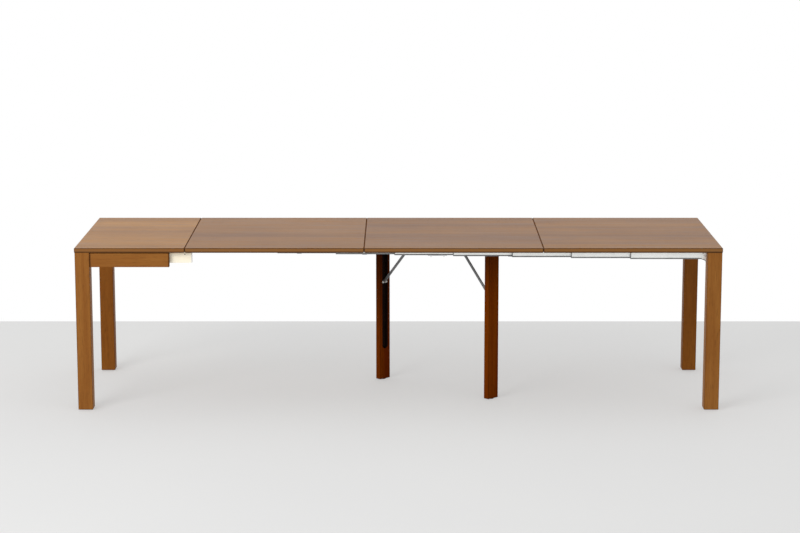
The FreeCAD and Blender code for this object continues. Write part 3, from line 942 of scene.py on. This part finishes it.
@dataclass
class RailStages:
    """The moving rail pairs with the ties that join them."""

    screw_radius: float = 4.0 * MM
    screw_height: float = 0.4 * MM
    screw_edge: float = 6.0 * MM
    pivot_stage: int = 5
    pivot_spread: float = 30.0 * MM
    tongue_reach: float = 6.1 * MM
    body_width: float = 13.4 * MM
    chamfer: float = 3.0 * MM
    cap_length: float = 3.5 * MM
    strip_height: float = 6.5 * MM
    strip_thickness: float = 0.3 * MM

    def dress(self, shelf: Shelf) -> None:
        """Puts the finishes on the rails and ties.

        Args:
            shelf: the shared materials.
        """
        for stage in STAGES:
            dress(f"rail_pair_{stage}", shelf.metal)
            dress(f"cross_tie_{stage}", shelf.zinc)
        dress("swivel_bearing", shelf.plastic)
        dress("pivot_bolt", shelf.zinc)

    def trim(self, node: str, body: str, tongue: float, plastic: bpy.types.Material) -> None:
        """Makes the end caps and the grey strips of painted shade along the lower edge of one pair of
        rails.

        Args:
            node: the node that holds the front rail, or both rails.
            body: the body that the rails belong to.
            tongue: how far the rail's tongue stands out of its outer face.
            plastic: the trim's finish.
        """
        low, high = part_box(node)
        outer = low.y + tongue
        inner = outer + self.body_width
        cut, skin = self.chamfer, self.strip_thickness
        cap = np.array(
            [(outer + cut, low.z), (inner, low.z), (inner, high.z), (outer, high.z), (outer, low.z + cut)],
        )
        # a grey strip over the rail's lower edge, painted shade
        top = low.z + self.strip_height
        strip = np.array(
            [
                (outer + cut, low.z - skin),
                (outer + cut, low.z),
                (outer, low.z + cut),
                (outer, top),
                (outer - skin, top),
                (outer - skin, low.z + cut - skin),
            ],
        )
        for name, section, start, end in (
            (f"{body}_rail_caps", cap, low.x - self.cap_length, low.x),
            (f"{body}_shade_strips", strip, low.x, high.x),
        ):
            pair = Strips(name, body, plastic)
            pair.run(section, start, end)
            pair.run(mirrored(section), start, end)
            pair.build()

    def build(self, shelf: Shelf) -> None:
        """Makes the rails' trim and the screws that hold each tie up to its rails.

        Args:
            shelf: the shared materials.
        """
        for stage in STAGES:
            self.trim(f"rail_pair_{stage}", f"stage_{stage}", self.tongue_reach, shelf.strip)
        self.trim("rail_9_front", "right_end", 0.0, shelf.strip)
        for stage in STAGES:
            low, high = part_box(f"cross_tie_{stage}")
            name, body = f"tie_screws_{stage}", f"stage_{stage}"
            screws = Fasteners(name, body, self.screw_radius, self.screw_height, shelf.bright)
            middle = (low.x + high.x) / 2
            spread = self.pivot_spread if stage == self.pivot_stage else 0.0
            for x in sorted({middle - spread, middle + spread}):
                for y, _ in two_sides(low.y + self.screw_edge):
                    screws.seat((x, y, low.z), Way.DOWN.value)
            screws.build()


@dataclass
class MovingEnd:
    """The end that draws out: legs, end rail, gussets, glides and the largest rails."""

    leg_shift: float = 1.9
    rail_shift: float = 2.3
    screw_radius: float = 3.4 * MM
    screw_height: float = 1.2 * MM
    screw_shares: tuple[tuple[float, float], ...] = ((0.3, 0.2), (0.7, 0.45))
    edge_bow: float = 0.62
    edge_lip: float = 3.5 * MM
    edge_skin: float = 0.4 * MM
    edge_points: int = 13

    def dress(self, shelf: Shelf) -> None:
        """Puts the finishes on the moving end.

        Args:
            shelf: the shared materials.
        """
        for side in SIDES:
            dress_leg(f"right_leg_{side}", self.leg_shift)
            dress(f"rail_9_{side}", shelf.metal)
        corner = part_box("right_leg_front")[1].y
        # painted shade where the end rail meets the legs
        lines = joint_shade_lines(Axis.Y, corner, -corner)
        rail = WoodFinish("end_rail_wood", FRAME_STAIN, Grain.ALONG_Y, self.rail_shift, lines)
        dress("end_rail", rail.material())
        dress("rail_gussets", shelf.metal)
        dress("right_glides", shelf.dark)

    def hollow_edge(self, width: float, height: float) -> tuple[np.ndarray, np.ndarray]:
        """The gusset's hollow lower edge: the arc of a circle through its two ends and a point between.

        The circle's centre is as far from each of the three, which makes two linear equations.

        Args:
            width: the edge's reach along the table.
            height: its reach upwards.

        Returns:
            Rows of place along the table and height from the hollow's corner, and the ways into the plate.
        """
        ends = np.array([(0.0, height), (width, 0.0)])
        between = self.edge_bow * np.array([width, height])
        centre = np.linalg.solve(2 * (ends - between), (ends**2).sum(1) - (between**2).sum())
        start, stop = np.arctan2(ends[:, 1] - centre[1], ends[:, 0] - centre[0])
        turn = np.linspace(start, stop, self.edge_points)
        inward = np.stack([np.cos(turn), np.sin(turn)], axis=1)
        return centre + np.linalg.norm(between - centre) * inward, inward

    def build_shade_edges(self, grey: bpy.types.Material) -> None:
        """Makes grey strips of painted shade on the gussets' hollow edges: an angle's section carried along
        each hollow edge to the leg.

        Args:
            grey: the strips' finish.
        """
        low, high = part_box("rail_gussets")
        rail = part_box("rail_9_front")[0]
        line, inward = self.hollow_edge(high.x - low.x, rail.z - low.z)
        lip, skin, face, back = self.edge_lip, self.edge_skin, low.y, rail.y
        outside = [(lip, face - skin), (-skin, face - skin), (-skin, back)]
        section = np.array(outside + [(0.0, back), (0.0, face), (lip, face)])
        sheets = []
        for depth, across in (section.T, (section[::-1] * np.array([1.0, -1.0])).T):
            place = line[:, None] + depth[:, None] * inward[:, None]
            x = np.minimum(low.x + place[..., 0], high.x)
            sheets.append(np.stack([x, np.broadcast_to(across, x.shape), low.z + place[..., 1]], axis=-1))
        points = np.concatenate([sheet.reshape(-1, 3) for sheet in sheets])
        faces = closed_rings(self.edge_points, len(section), len(sheets))
        fit_out(mesh_piece("gusset_shade_edges", points, faces), "right_end", grey)

    def build(self, shelf: Shelf) -> None:
        """Makes the strips of painted shade and the lens-headed screws of the gussets.

        Args:
            shelf: the shared materials.
        """
        self.build_shade_edges(shelf.strip)
        low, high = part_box("rail_gussets")
        width, height = high.x - low.x, high.z - low.z
        name, body = "gusset_screws", "right_end"
        screws = Fasteners(name, body, self.screw_radius, self.screw_height, shelf.bright)
        for along, drop in self.screw_shares:
            for way, face in ((Way.FRONT, low.y), (Way.REAR, high.y)):
                screws.seat((low.x + along * width, face, high.z - drop * height), way.value)
        screws.build()


@dataclass
class SwivelSupport:
    """The swivelling bar with its two folding legs and stays."""

    leg_shift: float = 3.1
    # Painted shadow of the table top: each middle leg darkens toward its top, the rear one from lower down
    # and more strongly.
    front_shade: Shade = Shade(Axis.Z, 0.5, 0.72, 0.4)
    rear_shade: Shade = Shade(Axis.Z, 0.25, 0.64, 0.65)
    screw_radius: float = 2.8 * MM
    screw_height: float = 1.0 * MM
    plate: float = 2.5 * MM
    hinge_screws: tuple[float, float] = (6.0 * MM, 9.0 * MM)
    stay_screws: tuple[float, float] = (185.0 * MM, 10.0 * MM)
    hinge_depth: float = 8.0 * MM
    groove_depth: float = 16.0 * MM
    groove_half: float = 19.0 * MM
    sheet_wall: float = 0.3 * MM
    sheet_floor: float = 0.6 * MM
    sheet_low: float = 174.0 * MM
    sheet_high: float = 684.0 * MM
    sheet_points: int = 17

    def dress(self, shelf: Shelf) -> None:
        """Puts the finishes on the support.

        Args:
            shelf: the shared materials.
        """
        shades = (self.front_shade, self.rear_shade)
        for number, (side, shade) in enumerate(zip(SIDES, shades)):
            name, shift = f"{side}_middle_leg_wood", self.leg_shift + number
            wood = WoodFinish(name, SUPPORT_STAIN, Grain.ALONG_Z, shift, (shade,))
            dress(f"{side}_middle_leg", wood.material())
            dress(f"{side}_middle_leg_glide", shelf.dark)
            dress(f"{side}_stay", shelf.stay)
            dress(f"{side}_stay_roller", shelf.nylon)
        for node in ("swivel_bar", "hinge_brackets", "hinge_pins", "stay_brackets", "stay_pins"):
            dress(node, shelf.zinc)

    def groove_shade_outline(self, half: float) -> np.ndarray:
        """The groove's outline: down one side, round a half circle at the foot and up the other side.

        Args:
            half: half the outline's width.

        Returns:
            Rows of place across the leg and height.
        """
        turn = np.linspace(2 * math.pi, math.pi, self.sheet_points)
        foot = np.stack([half * np.cos(turn), self.sheet_low + half * np.sin(turn)], axis=1)
        top = self.sheet_high - (self.groove_half - half)
        return np.concatenate([[(half, top)], foot, [(-half, top)]])

    def build_groove_shade(self, side: str, joint: dict, black: bpy.types.Material) -> None:
        """Makes the black sheet in a leg's groove, painted shade of the deep groove, a tray: its outline
        lofted to the rim and in to the floor.

        Args:
            side: front or rear.
            joint: the leg's fold, whose point and axis give the groove's place.
            black: the sheet's finish.
        """
        axis = np.array(joint["axis"])
        outward = np.cross(axis, UPRIGHT)
        hinge = np.array(joint["pos_m"]) * (1.0 - UPRIGHT)
        back = self.groove_depth - self.hinge_depth
        rim = self.sheet_wall - self.hinge_depth
        outer, inner = self.groove_half, self.groove_half - self.sheet_wall
        rings = []
        for half, depth in ((outer, back), (outer, rim), (inner, rim), (inner, back - self.sheet_floor)):
            across, height = self.groove_shade_outline(half).T
            rings.append(hinge + depth * outward + across[:, None] * axis + height[:, None] * UPRIGHT)
        faces = closed_rings(len(rings), len(rings[0]), 1)
        piece = mesh_piece(f"{side}_leg_groove_shade", np.concatenate(rings), faces)
        fit_out(piece, f"{side}_middle_leg_body", black)

    def build(self, shelf: Shelf) -> None:
        """Makes the black sheets of painted shade in the legs' grooves and the screws that hold the
        brackets up to the bar.

        Args:
            shelf: the shared materials.
        """
        folds = {joint["name"]: joint for joint in frame["joints"]}
        hinges = {side: folds[f"{side}_leg_fold"] for side in SIDES}
        for side, hinge in hinges.items():
            self.build_groove_shade(side, hinge, shelf.track)
        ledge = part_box("hinge_brackets")[1].z - self.plate
        name, body = "bracket_screws", "swivel_unit"
        screws = Fasteners(name, body, self.screw_radius, self.screw_height, shelf.bright)
        along, across = self.hinge_screws
        reach, spread = self.stay_screws
        places = [(u, v) for u in (-along, along) for v in (-across, across)]
        places += [(reach, -spread), (reach, spread)]
        for hinge in hinges.values():
            axis = np.array(hinge["axis"])
            inward = np.cross(UPRIGHT, axis)
            for u, v in places:
                x, y, _ = np.array(hinge["pos_m"]) + u * inward + v * axis
                screws.seat((x, y, ledge), Way.DOWN.value)
        screws.build()


@dataclass
class Leaves:
    """The loose leaves, their cleats and the brown strips sunk in their seams as painted seam shadow."""

    count: int = 3
    leaf_shift: float = 0.9
    screw_radius: float = 3.5 * MM
    screw_height: float = 0.5 * MM
    screws_each: int = 4
    cleat_edge: float = 10.0 * MM
    seam_width: float = 1.6 * MM
    seam_rise: float = 4.0 * MM
    seam_sink: float = 2.6 * MM
    seam_inset: float = 9.0 * MM

    def dress(self, shelf: Shelf) -> None:
        """Puts the finishes on the leaves, each with its own piece of grain.

        Args:
            shelf: the shared materials.
        """
        for number in range(1, self.count + 1):
            name, shift = f"leaf_{number}_wood", self.leaf_shift * number
            # painted shade along the leaf's lipping edges
            edge = lipping_shade_lines(f"leaf_{number}")
            wood = WoodFinish(name, LEAF_SHADE_STAIN, Grain.ALONG_X, shift, lip_shades=edge)
            dress(f"leaf_{number}", wood.material())
            dress(f"leaf_cleats_{number}", shelf.beech)

    def build(self, shelf: Shelf) -> None:
        """Makes the countersunk screws along each cleat and, on each leaf's left edge, a brown strip sunk
        in the seam as painted seam shadow.

        Args:
            shelf: the shared materials.
        """
        for number in range(1, self.count + 1):
            name, body = f"cleat_screws_{number}", f"leaf_{number}_body"
            low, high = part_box(f"leaf_cleats_{number}")
            screws = Fasteners(name, body, self.screw_radius, self.screw_height, shelf.bright)
            for x in np.linspace(low.x, high.x, self.screws_each + 2)[1:-1]:
                for y, _ in two_sides(low.y + self.cleat_edge):
                    screws.seat((x, y, low.z), Way.DOWN.value)
            screws.build()
            low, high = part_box(f"leaf_{number}")
            # a brown strip sunk in the seam's gap, painted shade
            left, bottom, top = low.x - self.seam_width, low.z + self.seam_rise, high.z - self.seam_sink
            section = np.array([(left, bottom), (low.x, bottom), (low.x, top), (left, top)])
            strip = Strips(f"seam_shade_strip_{number}", body, shelf.seam, course=Course.CROSSWISE)
            strip.run(section, low.y + self.seam_inset, high.y - self.seam_inset)
            strip.build()


def seen_rays(graph: Graph) -> bpy.types.NodeSocket:
    """Tells the rays that show a surface from those that light one.

    Args:
        graph: the material's or the world's graph.

    Returns:
        1 for rays from the camera, from a reflection or through glass, 0 for rays that carry light.
    """
    path = graph.add("ShaderNodeLightPath").outputs
    mirrored_or_seen = graph.math("MAXIMUM", path["Is Camera Ray"], path["Is Glossy Ray"])
    return graph.math("MAXIMUM", mirrored_or_seen, path["Is Transmission Ray"])


@dataclass
class Studio:
    """A pale floor that ends at a white background, soft light from the front left, and the camera."""

    floor_colour: Colour = srgb(225, 225, 225)
    floor_patch: Colour = srgb(230, 230, 229)
    floor_glow: float = 0.5
    floor_roughness: float = 0.75
    floor_gloss: float = 0.1
    floor_cells: int = 2
    floor_half_width: float = 40.0
    floor_front: float = -40.0
    floor_back: float = 1.61
    floor_drop: float = 0.2 * MM
    sky_light: float = 0.78
    key_place: Triple = (-4.8, -6.4, 4.4)
    key_aim: Triple = (0.0, 0.0, 0.4)
    key_size: float = 4.0
    key_power: float = 300.0
    camera_place: Triple = (0.0071, -10.651, 2.534)
    camera_pitch: float = 10.277
    camera_lens: float = 100.84
    camera_reach: float = 200.0
    sensor_width: float = 36.0

    def build_floor(self) -> None:
        """Makes the floor as a flat grid of two parameters; it is clear from below, for the underside."""
        cells, stride = self.floor_cells, self.floor_cells + 1
        x, y = np.meshgrid(
            np.linspace(-self.floor_half_width, self.floor_half_width, stride),
            np.linspace(self.floor_front, self.floor_back, stride),
        )
        points = np.stack([x, y, 0 * x - self.floor_drop], axis=-1).reshape(-1, 3)
        start = (np.arange(cells)[:, None] * stride + np.arange(cells)).ravel()
        quads = np.stack([start, start + 1, start + stride + 1, start + stride], axis=1)
        floor = mesh_piece("floor", points, quads.tolist())
        floor.data.materials.append(self.floor_paint())

    def floor_paint(self) -> bpy.types.Material:
        """Makes the floor's pale paint, which glows a little where it is seen.

        Returns:
            The floor's material.
        """
        material, graph, shader = new_material("floor_paint")
        patches = graph.noise(graph.place(Grain.EVEN), FLOOR_PATCHES)
        tint = graph.mix(patches, self.floor_colour, self.floor_patch)
        graph.feed(tint, shader.inputs["Base Color"])
        shader.inputs["Roughness"].default_value = self.floor_roughness
        shader.inputs["Specular IOR Level"].default_value = self.floor_gloss
        glow = graph.add("ShaderNodeEmission", {"Color": tint})
        share = graph.math("MULTIPLY", seen_rays(graph), self.floor_glow)
        mixed = graph.add("ShaderNodeMixShader", {0: share, 1: shader.outputs[0], 2: glow.outputs[0]})
        below = graph.add("ShaderNodeNewGeometry").outputs["Backfacing"]
        clear = graph.add("ShaderNodeBsdfTransparent")
        sheet = graph.add("ShaderNodeMixShader", {0: below, 1: mixed.outputs[0], 2: clear.outputs[0]})
        graph.feed(sheet.outputs[0], material.node_tree.nodes["Material Output"].inputs["Surface"])
        return material

    def build_sky(self) -> None:
        """Makes the surrounding light: soft on surfaces, white where the camera or a mirror sees it."""
        world = bpy.data.worlds.new("studio_sky")
        bpy.context.scene.world = world
        world.use_nodes = True
        graph = Graph(world.node_tree)
        sky = world.node_tree.nodes["Background"]
        sky.inputs["Color"].default_value = (1.0, 1.0, 1.0, 1.0)
        strength = graph.span(seen_rays(graph), Span(0.0, 1.0, self.sky_light, 1.0))
        graph.feed(strength, sky.inputs["Strength"])

    def build_lamp(self) -> None:
        """Makes the large soft lamp at the front left."""
        lamp = bpy.data.lights.new("key_lamp", "AREA")
        lamp.energy = self.key_power
        lamp.size = self.key_size
        holder = bpy.data.objects.new("key_lamp", lamp)
        holder.location = self.key_place
        aim = Vector(self.key_aim) - holder.location
        holder.rotation_euler = aim.to_track_quat("-Z", "Y").to_euler()
        bpy.context.scene.collection.objects.link(holder)

    def build_camera(self) -> None:
        """Makes the camera at the photograph's viewing angle."""
        camera = bpy.data.cameras.new("camera")
        camera.lens = self.camera_lens
        camera.sensor_width = self.sensor_width
        camera.clip_end = self.camera_reach
        holder = bpy.data.objects.new("camera", camera)
        holder.location = self.camera_place
        holder.rotation_euler = (math.radians(90 - self.camera_pitch), 0.0, 0.0)
        bpy.context.scene.collection.objects.link(holder)
        bpy.context.scene.camera = holder

    def build(self) -> None:
        """Sets up the floor, the light, the camera and the plain view transform."""
        self.build_floor()
        self.build_sky()
        self.build_lamp()
        self.build_camera()
        bpy.context.scene.view_settings.view_transform = "Standard"


def main() -> None:
    """Dresses and fits out each sub-assembly in turn, then sets up the studio."""
    logging.basicConfig(level=logging.INFO, format="%(name)s: %(message)s")
    shelf = Shelf()
    for assembly in (Console(), Lopers(), RailStages(), MovingEnd(), SwivelSupport(), Leaves()):
        assembly.dress(shelf)
        assembly.build(shelf)
    Studio().build()


if __name__ == "__main__":
    main()
